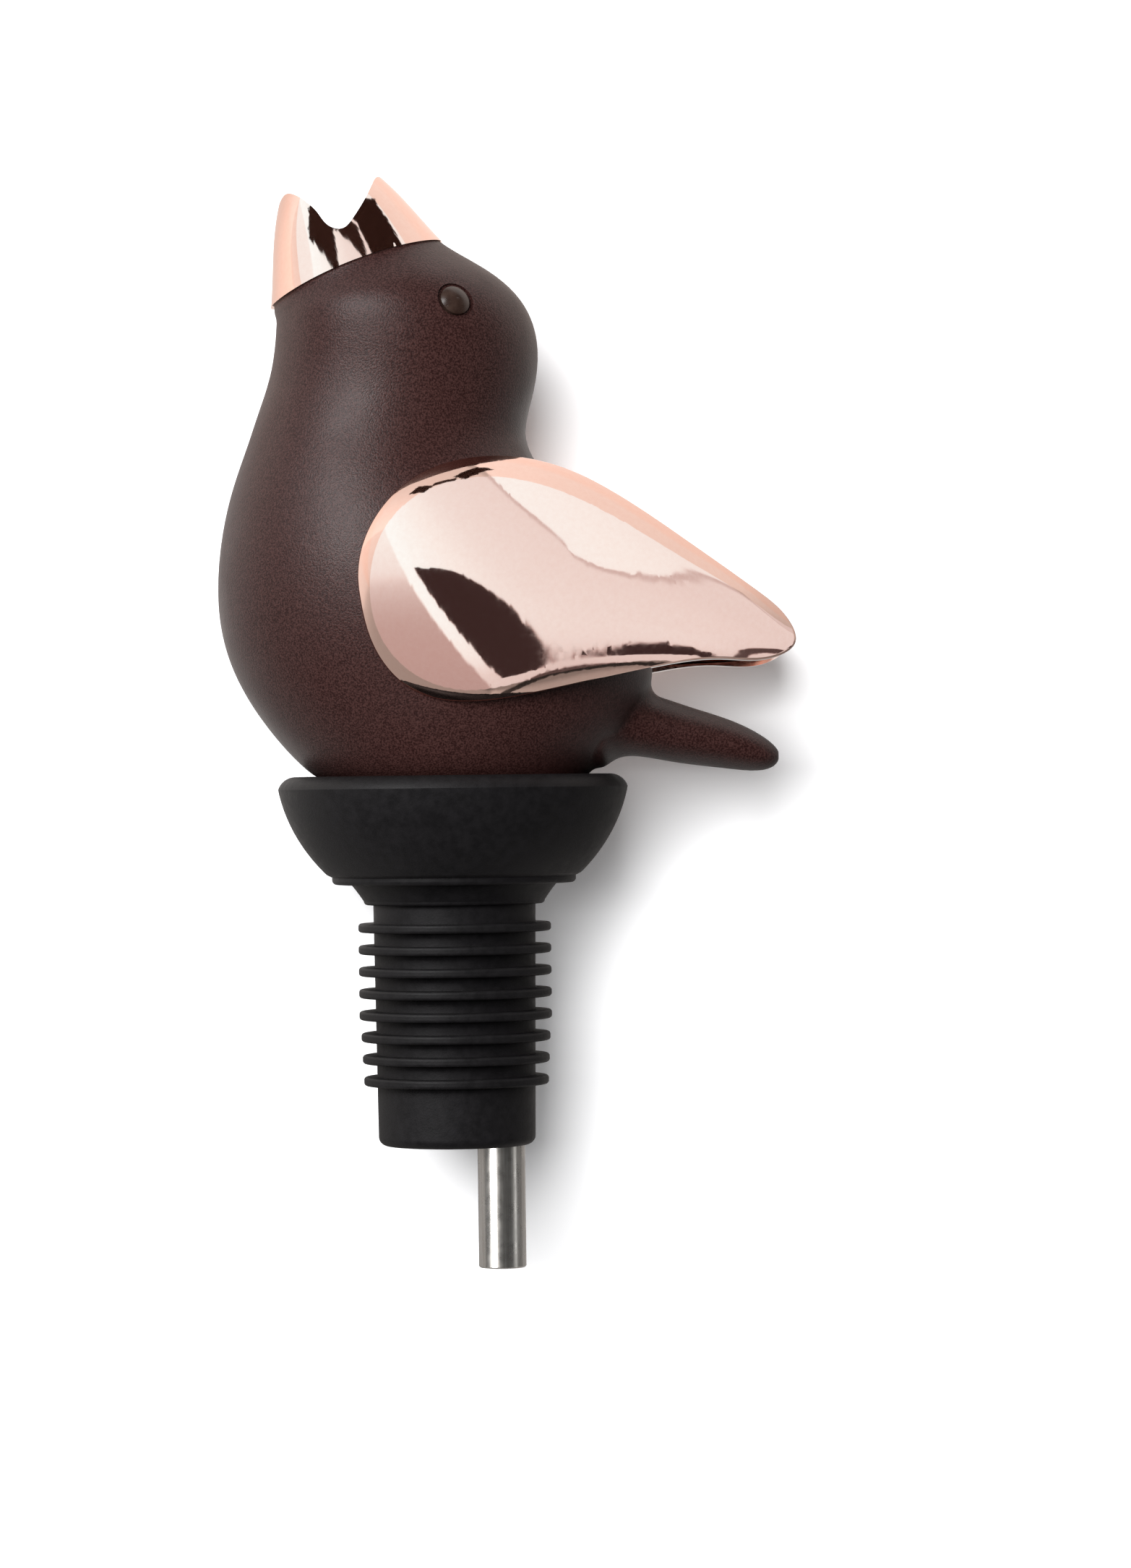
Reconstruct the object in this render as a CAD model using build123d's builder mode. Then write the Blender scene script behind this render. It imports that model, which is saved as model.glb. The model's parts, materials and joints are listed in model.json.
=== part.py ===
from build123d import *
from math import cos, radians, sin
import os

# A bird-shaped liquor pour spout: a silicone stopper and a hollow bird that lifts out of it.
# Millimetres. +Z is up along the plug's axis, +X points to the tail, and the bird faces -X.
# The origin is on the plug's axis, at the middle of the uppermost fin. The bird's left is -Y.

os.makedirs("parts", exist_ok=True)

# ---------------------------------------------------------------- driving dimensions

# stopper: the finned plug
FIN_R = 10.75
FIN_COUNT = 8
FULL_FINS = 5
FIN_PITCH = 2.44
FIN_THICK = 1.0
FIN_EDGE_R = 0.35
FIN_TAPER = [0.2, 0.32, 0.44]
PLUG_TOP_R = 9.05
PLUG_FOOT_R = 8.75
FIN_ROOT_R = PLUG_FOOT_R - 1
PLUG_FOOT_Z = -24.3
PLUG_FOOT_FILLET = 1.0

# stopper: the two rings and the bowl
RING_B_Z = 2.55
RING_B_R = 10.1
RING_B_EDGE_R = 0.4
RING_B_FLANK = (10.75, 3.9)
RING_B_TOP_R = 11.5
RING_A_Z = 4.85
RING_A_TOP_Z = 5.65
RING_A_EDGE_R = 0.5
RING_A_R = 13.6
BOWL_R = 19.5
BOWL_FOOT_R = 14.2
BOWL_FOOT_Z = 5.95
BOWL_SIDE = [(16.9, 9.2), (18.85, 13.1)]
BOWL_LIP = (18.85, 16.45)
PARTING_Z = 15.5
RIM_Z = 16.85
RIM_FLAT_R = 17.1
FLOOR_Z = 8.0

# where the bird sits in the bowl
SEAT_GAP = 0.1
SKIRT_GAP = 0.3
SKIRT_Z = FLOOR_Z + SEAT_GAP
SKIRT_FOOT_R = 12.4
SKIRT_TOP_Z = 16.9
SKIRT_TOP_R = 15.2
SKIRT_SLOPE = (SKIRT_TOP_R - SKIRT_FOOT_R) / (SKIRT_TOP_Z - SKIRT_Z)
SEAT_MOUTH_R = SKIRT_TOP_R + 0.2
RIM_EDGE_R = 0.5

# liquid spigot and vent tube, both parallel to the plug's axis
SPIGOT_X = -3.2
SPIGOT_R = 4.15
SPIGOT_BORE_R = 3.25
SPIGOT_FOOT_Z = -10.0
TUBE_X = 4.9
TUBE_R = 2.65
TUBE_BORE_R = 2.2
TUBE_FOOT_Z = -38.0
TUBE_TOP_Z = 19.3
TUBE_CHAMFER = 0.15
SLIP = 0.08
TUBE_FIT = 0.01
SPIGOT_END_GAP = 1.0

# bird
WALL = 2.2
TAIL_BLEND = 1.6
PLATE_THICK = 2.0
PLATE_TOP_Z = SKIRT_Z + PLATE_THICK
PLATE_TOP_R = SKIRT_FOOT_R + PLATE_THICK * SKIRT_SLOPE
SOCKET_TOP_Z = 14.1
SOCKET_WALL = 1.25
DUCT_R = 3.4
DUCT_BORE_R = 2.6
DUCT_BEND_R = 40.0
SEAL_THICK = 0.8
DUCT_FOOT_Z = PLATE_TOP_Z + SEAL_THICK
PRESS = 0.02

# head: u runs from the throat to the crown along the beak's foot, w runs out of the beak
BEAK_X = -9.95
BEAK_Z = 72.85
BEAK_TILT = 20.7
BEAK_FOOT_R = 10.35
BEAK_LEAN = 1.4
NECK_R = 9.95
NECK_END_R = 9.45
NECK_END_W = 1.0
NECK_HOLE_R = 7.8
COLLAR_R = 7.75
COLLAR_BORE_R = 6.6
SEAM_RISE = 0.65
COLLAR_LENGTH = 3.5
FLANGE_R = 9.3
FLANGE_THICK = 1.0
FLANGE_GAP = 0.05
MOUTH_PLATE_THICK = 1.8
MOUTH_PLATE_W = -3.3
SEAL_WALL = 0.6
SEAL_LIP = 1.4
DUCT_END_W = -0.9
# outer and inner side of the beak, foot to tips: (radius, w)
BEAK_OUTSIDE = [(10.8, -1.2), (8.95, 3.1), (7.0, 7.7), (5.1, 11.0), (3.9, 12.6)]
BEAK_INSIDE = [(9.35, -1.2), (7.8, 3.0), (5.85, 7.5), (4.0, 10.9), (2.9, 12.6)]
# edge of the open mouth, from the lower petal to the upper one: (u, w)
MOUTH = [
    (-5.9, 9.75),
    (-5.0, 10.6),
    (-4.2, 10.95),
    (-3.3, 10.4),
    (-2.4, 9.1),
    (-1.6, 7.3),
    (-0.95, 5.35),
    (0.4, 4.5),
    (1.8, 5.15),
    (4.1, 7.1),
    (5.3, 8.45),
    (6.2, 9.15),
    (6.85, 8.75),
    (7.6, 8.2),
]
MOUTH_TOP = 20.0
BEAK_FOOT_EDGE_R = 0.25

# wing: a domed shell; cross-sections of the dome, front to tip, are half ellipses in Y and Z:
# x, middle z, half height, middle y (outwards), half depth
WING_SHELL = 2.4
WING_EDGE_R = 0.6
WING_INSIDE_Y = 14.0
WING_DOME = [
    (-11.0, 37.3, 3.4, 14.5, 2.3),
    (-9.0, 37.3, 8.0, 14.5, 6.0),
    (-5.0, 37.4, 12.0, 14.5, 9.1),
    (3.0, 37.6, 14.4, 14.5, 11.0),
    (12.0, 37.8, 12.9, 14.5, 10.4),
    (20.0, 36.6, 10.2, 14.3, 8.9),
    (27.0, 34.5, 7.6, 14.0, 7.2),
    (33.0, 32.5, 5.3, 13.7, 5.2),
    (36.5, 31.3, 3.4, 13.5, 3.5),
    (38.6, 30.9, 2.1, 13.5, 2.1),
]
# outline of the wing from the side: (x, z), a rounded leaf with its tip at the back
WING_OUTLINE = [
    (-9.5, 37.0),
    (-8.3, 43.7),
    (-3.4, 49.1),
    (3.6, 51.3),
    (11.9, 50.35),
    (19.5, 46.5),
    (26.8, 41.45),
    (33.8, 36.4),
    (37.1, 33.2),
    (37.7, 30.8),
    (35.9, 29.4),
    (29.7, 29.1),
    (22.0, 28.25),
    (11.0, 26.0),
    (2.0, 24.8),
    (-3.6, 26.0),
    (-7.6, 30.1),
]

# wing pins, push-on retainers, screws
WING_PINS = [(-2.0, 40.0), (3.0, 31.0)]
PIN_R = 1.5
PIN_END_Y = 13.0
WING_ROOT_Y = 22.5
PIN_BOSS_Y = 14.6
RETAINER_R = 3.0
RETAINER_THICK = 0.8
PIN_BOSS_WALL = 0.4
SCREW_X = 3.2
SCREW_Y = 8.8
SCREW_R = 0.98
SCREW_HEAD_R = 1.9
SCREW_PLAY = 0.12
SCREW_HEAD_SUNK = 0.1
SCREW_TOP_Z = 16.0
SCREW_HEAD_DEPTH = 1.1
SCREW_SLOT_LENGTH = 2.2
SCREW_SLOT_WIDTH = 0.5
SCREW_SLOT_DEPTH = 0.6
SCREW_BOSS_R = 2.1
SCREW_BOSS_ROOF = 1.5
SCREW_SPOTS = [(x, y) for x in (-SCREW_X, SCREW_X) for y in (-SCREW_Y, SCREW_Y)]

# dowels that line up the two shells
DOWELS = [(9.0, 38.0), (-16.5, 40.0)]
DOWEL_POST_R = 2.2
DOWEL_R = 1.0
DOWEL_LENGTH = 3.0
DOWEL_SOCKET_LENGTH = 3.2

# air inlet, between the wings, just above the tail
AIR_INLET_X = 19.0
AIR_INLET_Z = 30.0
AIR_INLET_R = 1.5

# eye
EYE_X = 1.25
EYE_Z = 68.9
EYE_R = 1.7
EYE_RECESS_R = 2.1
EYE_RECESS = 0.6
EYE_STUD_R = 1.2
EYE_STUD_LENGTH = 4.0
EYE_DOME = 0.45
EYE_DOME_R = 2.6
EYE_SOCKET_LENGTH = 5.0

# whistle on top of the vent tube
WHISTLE_R = 4.4
WHISTLE_HOLE_R = 0.9
WHISTLE_Z = 16.2
WHISTLE_TOP_Z = 23.5
CHAMBER_Z = 20.2
CHAMBER_R = 3.4
GROMMET_WALL = 0.7
GROMMET_TOP_Z = 19.5
GROMMET_FLANGE = 0.8
CAP_THICK = 0.7
CAP_PLUG = 0.9

# ---------------------------------------------------------------- planes

tilt = radians(BEAK_TILT)
U = Vector(cos(tilt), 0, sin(tilt))
W = Vector(-sin(tilt), 0, cos(tilt))
HEAD = Vector(BEAK_X, 0, BEAK_Z)
head_side = Plane(origin=HEAD, x_dir=U, z_dir=(0, -1, 0))
head_foot = Plane(origin=HEAD, x_dir=U, z_dir=W)
# the beak's cone leans a little towards the crown
lean = radians(BEAK_TILT - BEAK_LEAN)
cone_side = Plane(origin=HEAD, x_dir=(cos(lean), 0, sin(lean)), z_dir=(0, -1, 0))
cone_axis = Axis(HEAD, Vector(-sin(lean), 0, cos(lean)))
SPREAD = 60.0


def finish(name, piece):
    """Name one finished piece and write its file."""
    piece.label = name
    export_step(piece, "parts/" + name + ".step")


# ---------------------------------------------------------------- stopper

with BuildPart() as stopper:
    with BuildSketch(Plane.XZ):
        with BuildLine():
            Polyline((0, FLOOR_Z), (0, PLUG_FOOT_Z), (PLUG_FOOT_R - PLUG_FOOT_FILLET, PLUG_FOOT_Z))
            RadiusArc(
                (PLUG_FOOT_R - PLUG_FOOT_FILLET, PLUG_FOOT_Z),
                (PLUG_FOOT_R, PLUG_FOOT_Z + PLUG_FOOT_FILLET),
                -PLUG_FOOT_FILLET,
            )
            # core of the plug, and ring B with its flared flank
            Polyline(
                (PLUG_FOOT_R, PLUG_FOOT_Z + PLUG_FOOT_FILLET),
                (PLUG_TOP_R, RING_B_Z),
                (RING_B_R - RING_B_EDGE_R, RING_B_Z),
            )
            RadiusArc(
                (RING_B_R - RING_B_EDGE_R, RING_B_Z),
                (RING_B_R, RING_B_Z + RING_B_EDGE_R),
                -RING_B_EDGE_R,
            )
            ThreePointArc(
                (RING_B_R, RING_B_Z + RING_B_EDGE_R),
                RING_B_FLANK,
                (RING_B_TOP_R, RING_A_Z),
            )
            # ring A, the ledge that meets the bottle's lip
            Line((RING_B_TOP_R, RING_A_Z), (RING_A_R - RING_A_EDGE_R, RING_A_Z))
            RadiusArc(
                (RING_A_R - RING_A_EDGE_R, RING_A_Z),
                (RING_A_R, RING_A_Z + RING_A_EDGE_R),
                -RING_A_EDGE_R,
            )
            Polyline(
                (RING_A_R, RING_A_Z + RING_A_EDGE_R),
                (RING_A_R, RING_A_TOP_Z),
                (BOWL_FOOT_R, BOWL_FOOT_Z),
            )
            # outside of the bowl, up to the parting line, and the rounded lip
            Spline((BOWL_FOOT_R, BOWL_FOOT_Z), *BOWL_SIDE, (BOWL_R, PARTING_Z))
            ThreePointArc((BOWL_R, PARTING_Z), BOWL_LIP, (RIM_FLAT_R, RIM_Z))
            Line((RIM_FLAT_R, RIM_Z), (SEAT_MOUTH_R + RIM_EDGE_R, RIM_Z))
            # inside of the bowl
            RadiusArc((SEAT_MOUTH_R + RIM_EDGE_R, RIM_Z), (SEAT_MOUTH_R, RIM_Z - RIM_EDGE_R), -RIM_EDGE_R)
            Polyline(
                (SEAT_MOUTH_R, RIM_Z - RIM_EDGE_R),
                (SKIRT_FOOT_R + SKIRT_GAP, FLOOR_Z),
                (0, FLOOR_Z),
            )
        make_face()
    revolve(axis=Axis.Z)
    # fins
    for fin in range(FIN_COUNT):
        fin_r = FIN_R if fin < FULL_FINS else FIN_R - FIN_TAPER[fin - FULL_FINS]
        with BuildSketch(Plane.XZ) as fin_section:
            with Locations(((FIN_ROOT_R + fin_r) / 2, -fin * FIN_PITCH)):
                Rectangle(fin_r - FIN_ROOT_R, FIN_THICK)
            fillet(fin_section.vertices().group_by(Axis.X)[-1], FIN_EDGE_R)
        revolve(axis=Axis.Z)
    # vent bore right through, and the liquid bore that takes the spigot
    with BuildSketch(Plane.XY.offset(PLUG_FOOT_Z)):
        with Locations((TUBE_X, 0)):
            Circle(TUBE_R + SLIP)
        with Locations((SPIGOT_X, 0)):
            Circle(SPIGOT_BORE_R)
    extrude(amount=FLOOR_Z - PLUG_FOOT_Z, mode=Mode.SUBTRACT)
    with BuildSketch(Plane.XY.offset(SPIGOT_FOOT_Z - SPIGOT_END_GAP)):
        with Locations((SPIGOT_X, 0)):
            Circle(SPIGOT_R + SLIP)
    extrude(amount=FLOOR_Z - SPIGOT_FOOT_Z + SPIGOT_END_GAP, mode=Mode.SUBTRACT)
finish("stopper", stopper.part)

# ---------------------------------------------------------------- bird: outer form and hollow

# Cross-sections of the bird, foot to neck: breast point (x, z), back point (x, z), half width.
STATIONS = [
    ((-15.2, 16.9), (15.2, 16.9), 15.2),
    ((-20.3, 22.1), (19.9, 21.9), 18.0),
    ((-24.5, 29.4), (22.4, 28.8), 19.3),
    ((-25.9, 37.0), (20.2, 37.0), 19.4),
    ((-25.1, 45.2), (14.6, 45.6), 17.8),
    ((-23.7, 50.3), (10.4, 50.6), 16.0),
    ((-22.2, 54.5), (8.6, 54.8), 14.6),
    ((-20.7, 58.8), (9.45, 59.2), 13.9),
    ((-19.6, 62.6), (10.05, 64.2), 13.8),
    ((-19.15, 65.8), (8.7, 69.0), 13.6),
    ((-19.05, 67.7), (5.0, 72.8), 12.5),
]
# Cross-sections of the tail: x, top z, bottom z, half width.
TAIL = [
    (13.0, 28.0, 19.5, 6.4),
    (19.0, 26.4, 18.7, 5.8),
    (24.5, 24.9, 18.1, 5.2),
    (30.0, 23.05, 17.35, 4.5),
    (33.6, 21.45, 17.0, 3.7),
    (35.2, 20.4, 17.2, 2.8),
    (36.05, 19.6, 17.7, 1.7),
    (36.35, 19.1, 18.2, 0.8),
]


def station_plane(breast, back):
    """Plane of a cross-section that runs from the breast to the back."""
    middle = ((breast[0] + back[0]) / 2, 0, (breast[1] + back[1]) / 2)
    along = (back[0] - breast[0], 0, back[1] - breast[1])
    across = (-(back[1] - breast[1]), 0, back[0] - breast[0])
    return Plane(origin=middle, x_dir=along, z_dir=across)


def half_length(breast, back):
    """Half the distance from the breast to the back."""
    return Vector(back[0] - breast[0], back[1] - breast[1]).length / 2


# everything that lies past the beak's foot, which is a shallow arch from throat to crown
with BuildPart() as past_neck:
    with BuildSketch(head_side):
        with BuildLine():
            ThreePointArc((-BEAK_FOOT_R, 0), (0, SEAM_RISE), (BEAK_FOOT_R, 0))
            Polyline(
                (BEAK_FOOT_R, 0),
                (BEAK_FOOT_R + 5, -2.5),
                (BEAK_FOOT_R + 5, SPREAD / 2),
                (-BEAK_FOOT_R - 5, SPREAD / 2),
                (-BEAK_FOOT_R - 5, -2.5),
                (-BEAK_FOOT_R, 0),
            )
        make_face()
    extrude(amount=SPREAD / 2, both=True)

with BuildPart() as hull:
    for breast, back, half_width in STATIONS:
        with BuildSketch(station_plane(breast, back)):
            Ellipse(half_length(breast, back), half_width)
    with BuildSketch(head_foot):
        Circle(NECK_R)
    with BuildSketch(head_foot.offset(NECK_END_W)):
        Circle(NECK_END_R)
    loft()
    # skirt that drops into the bowl
    with BuildSketch(Plane.XY.offset(PLATE_TOP_Z)):
        Circle(PLATE_TOP_R)
    with BuildSketch(Plane.XY.offset(SKIRT_TOP_Z)):
        Circle(SKIRT_TOP_R)
    loft()
    add(past_neck.part, mode=Mode.SUBTRACT)

with BuildPart() as tail:
    for x, top, bottom, half_width in TAIL:
        with BuildSketch(Plane.YZ.offset(x)):
            with Locations((0, (top + bottom) / 2)):
                Ellipse(half_width, (top - bottom) / 2)
    loft()

with BuildPart() as bird_form:
    add(hull.part)
    add(tail.part)
    fillet(new_edges(hull.part, tail.part, combined=bird_form.part), TAIL_BLEND)

with BuildPart() as hollow:
    for breast, back, half_width in STATIONS:
        with BuildSketch(station_plane(breast, back)):
            Ellipse(half_length(breast, back) - WALL, half_width - WALL)
    loft()
    with BuildSketch(Plane.XY.offset(PLATE_TOP_Z)):
        Circle(PLATE_TOP_R - WALL)
    with BuildSketch(Plane.XY.offset(SKIRT_TOP_Z)):
        Circle(SKIRT_TOP_R - WALL)
    loft()


# ---------------------------------------------------------------- bird: left and right shell

# posts, bosses and eye sockets inside the shells, trimmed to the outer form
with BuildPart() as inner_bosses:
    with BuildSketch(Plane.XY.offset(PLATE_TOP_Z)):
        with Locations(*SCREW_SPOTS):
            Circle(SCREW_BOSS_R)
    extrude(amount=SCREW_TOP_Z + SCREW_BOSS_ROOF - PLATE_TOP_Z)
    with BuildSketch(Plane.XZ):
        with Locations(*DOWELS):
            Circle(DOWEL_POST_R)
    extrude(amount=SPREAD / 2, both=True)
    for side in (-1, 1):
        with BuildSketch(Plane.XZ.offset(-side * PIN_BOSS_Y)):
            with Locations(*WING_PINS):
                Circle(RETAINER_R + PIN_BOSS_WALL)
        extrude(amount=-side * SPREAD / 4)
    add(bird_form.part, mode=Mode.INTERSECT)


def eye_plane(side):
    """Plane that touches the head where the eye sits, on one side."""
    ray = Axis((EYE_X, 0, EYE_Z), (0, side, 0))
    hits = hull.part.find_intersection_points(ray)
    point, normal = max(hits, key=lambda hit: side * hit[0].Y)
    return Plane(origin=point, x_dir=(1, 0, 0), z_dir=normal)


def make_shell(side):
    """One half of the bird's shell: side -1 is the left, 1 is the right."""
    with BuildPart() as shell:
        add(bird_form.part)
        add(hollow.part, mode=Mode.SUBTRACT)
        add(inner_bosses.part)
        # neck hole for the beak's collar, and the air inlet above the tail
        with BuildSketch(head_foot.offset(-6)):
            Circle(NECK_HOLE_R)
        extrude(amount=10, mode=Mode.SUBTRACT)
        with BuildSketch(Plane.YZ.offset(AIR_INLET_X)):
            with Locations((0, AIR_INLET_Z)):
                Circle(AIR_INLET_R)
        extrude(amount=6, mode=Mode.SUBTRACT)
        # screw pilots, wing pin holes, eye recess and its stud hole
        with BuildSketch(Plane.XY.offset(PLATE_TOP_Z)):
            with Locations(*[(x, side * SCREW_Y) for x in (-SCREW_X, SCREW_X)]):
                Circle(SCREW_R + PRESS)
        extrude(amount=SCREW_TOP_Z + SCREW_BOSS_ROOF / 3 - PLATE_TOP_Z, mode=Mode.SUBTRACT)
        with BuildSketch(Plane.XZ.offset(-side * (PIN_END_Y - 1))):
            with Locations(*WING_PINS):
                Circle(PIN_R + PRESS)
        extrude(amount=-side * 10, mode=Mode.SUBTRACT)
        with BuildSketch(eye_plane(side).offset(1.0)):
            Circle(EYE_RECESS_R)
        extrude(amount=-1.0 - EYE_RECESS, mode=Mode.SUBTRACT)
        with BuildSketch(eye_plane(side)):
            Circle(EYE_STUD_R + PRESS)
        extrude(amount=-EYE_SOCKET_LENGTH, mode=Mode.SUBTRACT)
        split(bisect_by=Plane.XZ, keep=Keep.TOP if side < 0 else Keep.BOTTOM)
        # dowels stand on the right shell and enter sockets in the left one
        with BuildSketch(Plane.XZ):
            with Locations(*DOWELS):
                Circle(DOWEL_R if side > 0 else DOWEL_R + SLIP)
        if side > 0:
            extrude(amount=DOWEL_LENGTH)
        else:
            extrude(amount=DOWEL_SOCKET_LENGTH, mode=Mode.SUBTRACT)
    return shell.part


finish("body_shell_left", make_shell(-1))
finish("body_shell_right", make_shell(1))

# ---------------------------------------------------------------- eyes

for name, side in (("eye_left", -1), ("eye_right", 1)):
    seat = eye_plane(side)
    with BuildPart() as eye:
        with BuildSketch(seat.offset(-EYE_STUD_LENGTH)):
            Circle(EYE_STUD_R)
        extrude(amount=EYE_STUD_LENGTH)
        with BuildSketch(seat.offset(-EYE_RECESS)):
            Circle(EYE_R)
        extrude(amount=EYE_RECESS + EYE_DOME)
        with Locations(seat.offset(EYE_DOME - EYE_DOME_R)):
            Sphere(EYE_DOME_R, mode=Mode.INTERSECT)
    finish(name, eye.part)

# ---------------------------------------------------------------- beak and what it holds

with BuildPart() as beak:
    # hollow cone with a slightly bulging side
    with BuildSketch(cone_side):
        with BuildLine():
            Spline(*BEAK_OUTSIDE)
            Line(BEAK_OUTSIDE[-1], BEAK_INSIDE[-1])
            Spline(*BEAK_INSIDE)
            Line(BEAK_INSIDE[0], BEAK_OUTSIDE[0])
        make_face()
    revolve(axis=cone_axis)
    add(past_neck.part, mode=Mode.INTERSECT)
    fillet(beak.edges().group_by(SortBy.LENGTH)[-1], BEAK_FOOT_EDGE_R)
    # the open mouth
    with BuildSketch(head_side):
        with BuildLine():
            Spline(*MOUTH)
            Polyline(MOUTH[-1], (MOUTH[-1][0], MOUTH_TOP), (MOUTH[0][0], MOUTH_TOP), MOUTH[0])
        make_face()
    extrude(amount=SPREAD / 2, both=True, mode=Mode.SUBTRACT)
    # flange and collar that plug into the neck
    with BuildSketch(head_foot.offset(SEAM_RISE + FLANGE_GAP)):
        Circle(FLANGE_R)
        Circle(COLLAR_BORE_R, mode=Mode.SUBTRACT)
    extrude(amount=FLANGE_THICK)
    with BuildSketch(head_foot.offset(-COLLAR_LENGTH)):
        Circle(COLLAR_R)
        Circle(COLLAR_BORE_R, mode=Mode.SUBTRACT)
    extrude(amount=COLLAR_LENGTH + FLANGE_THICK)
finish("beak", beak.part)

with BuildPart() as mouth_plate:
    with BuildSketch(head_foot.offset(MOUTH_PLATE_W)):
        Circle(COLLAR_BORE_R - PRESS)
        Circle(DUCT_R + SEAL_WALL, mode=Mode.SUBTRACT)
    extrude(amount=MOUTH_PLATE_THICK)
finish("mouth_plate", mouth_plate.part)

with BuildPart() as duct_upper_seal:
    with BuildSketch(head_foot.offset(MOUTH_PLATE_W)):
        Circle(DUCT_R + SEAL_WALL)
        Circle(DUCT_R, mode=Mode.SUBTRACT)
    extrude(amount=MOUTH_PLATE_THICK)
    with BuildSketch(head_foot.offset(MOUTH_PLATE_W + MOUTH_PLATE_THICK)):
        Circle(DUCT_R + SEAL_LIP)
        Circle(DUCT_R, mode=Mode.SUBTRACT)
    extrude(amount=SEAL_WALL)
finish("duct_upper_seal", duct_upper_seal.part)

# ---------------------------------------------------------------- pour duct and its lower seal

duct_end = HEAD + W * DUCT_END_W
bend_z = BEAK_Z - (SPIGOT_X - BEAK_X) / sin(tilt) * cos(tilt)

with BuildPart() as pour_duct:
    with BuildLine(Plane.XZ):
        FilletPolyline(
            (SPIGOT_X, DUCT_FOOT_Z),
            (SPIGOT_X, bend_z),
            (duct_end.X, duct_end.Z),
            radius=DUCT_BEND_R,
        )
    with BuildSketch(Plane.XY.offset(DUCT_FOOT_Z)):
        with Locations((SPIGOT_X, 0)):
            Circle(DUCT_R)
            Circle(DUCT_BORE_R, mode=Mode.SUBTRACT)
    sweep()
finish("pour_duct", pour_duct.part)

with BuildPart() as duct_lower_seal:
    with BuildSketch(Plane.XY.offset(PLATE_TOP_Z)):
        with Locations((SPIGOT_X, 0)):
            Circle(DUCT_R)
            Circle(DUCT_BORE_R, mode=Mode.SUBTRACT)
    extrude(amount=SEAL_THICK)
finish("duct_lower_seal", duct_lower_seal.part)

# ---------------------------------------------------------------- wings


def dome(inset):
    """The wing's dome, or with an inset the space inside its shell."""
    with BuildPart() as form:
        for x, middle_z, half_height, middle_y, half_depth in WING_DOME:
            if half_height > inset + 0.8 and half_depth > inset + 0.8:
                with BuildSketch(Plane.YZ.offset(x)):
                    with Locations((-middle_y, middle_z)):
                        Ellipse(half_depth - inset, half_height - inset)
        loft()
    return form.part


with BuildPart() as wing_left:
    with BuildSketch(Plane.XZ.offset(WING_INSIDE_Y)):
        with BuildLine():
            Spline(*WING_OUTLINE, periodic=True)
        make_face()
    extrude(amount=15)
    add(dome(0), mode=Mode.INTERSECT)
    fillet(wing_left.faces().sort_by(Axis.Y)[0].edges(), WING_EDGE_R)
    add(dome(WING_SHELL), mode=Mode.SUBTRACT)
    add(bird_form.part, mode=Mode.SUBTRACT)
    # moulded pins that pass through the shell
    with BuildSketch(Plane.XZ.offset(PIN_END_Y)):
        with Locations(*WING_PINS):
            Circle(PIN_R)
    extrude(amount=WING_ROOT_Y - PIN_END_Y)
finish("wing_left", wing_left.part)

with BuildPart() as wing_right:
    add(wing_left.part.solid())
    mirror(about=Plane.XZ, mode=Mode.REPLACE)
finish("wing_right", wing_right.part)

for name, side in (("wing_retainers_left", -1), ("wing_retainers_right", 1)):
    with BuildPart() as retainers:
        with BuildSketch(Plane.XZ.offset(-side * PIN_BOSS_Y)):
            with Locations(*WING_PINS):
                Circle(RETAINER_R)
                Circle(PIN_R, mode=Mode.SUBTRACT)
        extrude(amount=side * RETAINER_THICK)
    finish(name, retainers.part)

# ---------------------------------------------------------------- base plate, screws, vent tube

with BuildPart() as base_plate:
    with BuildSketch(Plane.XY.offset(SKIRT_Z)):
        Circle(SKIRT_FOOT_R)
    with BuildSketch(Plane.XY.offset(PLATE_TOP_Z)):
        Circle(PLATE_TOP_R)
    loft()
    # spigot below, sockets for the duct and the tube above
    with BuildSketch(Plane.XY.offset(SPIGOT_FOOT_Z)):
        with Locations((SPIGOT_X, 0)):
            Circle(SPIGOT_R)
    extrude(amount=SKIRT_Z - SPIGOT_FOOT_Z)
    with BuildSketch(Plane.XY.offset(PLATE_TOP_Z)):
        with Locations((SPIGOT_X, 0)):
            Circle(DUCT_R + SOCKET_WALL)
        with Locations((TUBE_X, 0)):
            Circle(TUBE_R + SOCKET_WALL)
    extrude(amount=SOCKET_TOP_Z - PLATE_TOP_Z)
    # liquid way: wide in the spigot, narrower at the throat, then the duct's socket
    with BuildSketch(Plane.XY.offset(SPIGOT_FOOT_Z)):
        with Locations((SPIGOT_X, 0)):
            Circle(SPIGOT_BORE_R)
    extrude(amount=SKIRT_Z + 0.5 - SPIGOT_FOOT_Z, mode=Mode.SUBTRACT)
    with BuildSketch(Plane.XY.offset(SKIRT_Z)):
        with Locations((SPIGOT_X, 0)):
            Circle(DUCT_BORE_R)
        with Locations((TUBE_X, 0)):
            Circle(TUBE_R + TUBE_FIT)
    extrude(amount=SOCKET_TOP_Z - SKIRT_Z, mode=Mode.SUBTRACT)
    with BuildSketch(Plane.XY.offset(PLATE_TOP_Z)):
        with Locations((SPIGOT_X, 0)):
            Circle(DUCT_R + PRESS)
    extrude(amount=SOCKET_TOP_Z - PLATE_TOP_Z, mode=Mode.SUBTRACT)
    # counterbored screw holes, open below
    with Locations(Plane(origin=(0, 0, SKIRT_Z), z_dir=(0, 0, -1))):
        with Locations(*SCREW_SPOTS):
            CounterBoreHole(SCREW_R + SCREW_PLAY, SCREW_HEAD_R + SCREW_PLAY, SCREW_HEAD_DEPTH, PLATE_THICK)
finish("base_plate", base_plate.part)

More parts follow.
